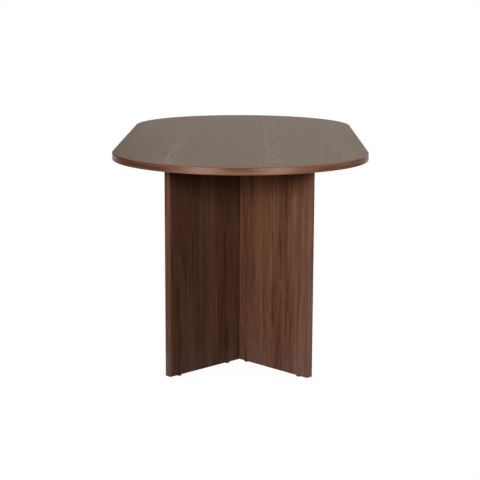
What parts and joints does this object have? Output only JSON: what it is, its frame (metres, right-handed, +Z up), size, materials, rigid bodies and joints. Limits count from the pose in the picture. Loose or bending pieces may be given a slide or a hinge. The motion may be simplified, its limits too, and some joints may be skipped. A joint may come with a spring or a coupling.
{
  "type": "dining table",
  "caption": "Racetrack-shaped dining table: a laminated walnut-look top with a plastic edge band on crossed-panel bases that stand on nailed glides.",
  "frame": {"origin": "on the floor, under the middle of the top", "axes": "+X along the length of the table, +Y across its width, +Z up"},
  "size_m": [1.8396, 0.9, 0.75],
  "materials": {
    "walnut_laminate": "satin",
    "walnut_panel": "satin",
    "walnut_edge_band": "satin",
    "particleboard": "matte",
    "backing_sheet": "matte",
    "zinc_plated_steel": "satin",
    "cast_zinc": "matte",
    "brown_plastic": "satin",
    "beech": "matte",
    "dark_plastic": "satin"
  },
  "bodies": {
    "root": {"tabletop_core": "particleboard", "tabletop_face_laminate": "walnut_laminate", "tabletop_backing_sheet": "backing_sheet", "tabletop_edge_band": "walnut_edge_band", "tabletop_threaded_inserts": "zinc_plated_steel", "right_base_through_panel": "walnut_panel", "right_base_outer_half_panel": "walnut_panel", "right_base_inner_half_panel": "walnut_panel", "right_base_through_panel_end_bands": "walnut_edge_band", "right_base_outer_half_panel_end_band": "walnut_edge_band", "right_base_inner_half_panel_end_band": "walnut_edge_band", "right_base_cam_bolts": "zinc_plated_steel", "right_base_cam_locks": "cast_zinc", "right_base_cam_caps": "brown_plastic", "right_base_dowels": "beech", "right_base_angle_brackets": "zinc_plated_steel", "right_base_bracket_screws": "zinc_plated_steel", "right_base_top_bolts": "zinc_plated_steel", "right_base_glide_pads": "dark_plastic", "right_base_glide_nails": "zinc_plated_steel", "left_base_through_panel": "walnut_panel", "left_base_outer_half_panel": "walnut_panel", "left_base_inner_half_panel": "walnut_panel", "left_base_through_panel_end_bands": "walnut_edge_band", "left_base_outer_half_panel_end_band": "walnut_edge_band", "left_base_inner_half_panel_end_band": "walnut_edge_band", "left_base_cam_bolts": "zinc_plated_steel", "left_base_cam_locks": "cast_zinc", "left_base_cam_caps": "brown_plastic", "left_base_dowels": "beech", "left_base_angle_brackets": "zinc_plated_steel", "left_base_bracket_screws": "zinc_plated_steel", "left_base_top_bolts": "zinc_plated_steel", "left_base_glide_pads": "dark_plastic", "left_base_glide_nails": "zinc_plated_steel"}
  },
  "joints": []
}
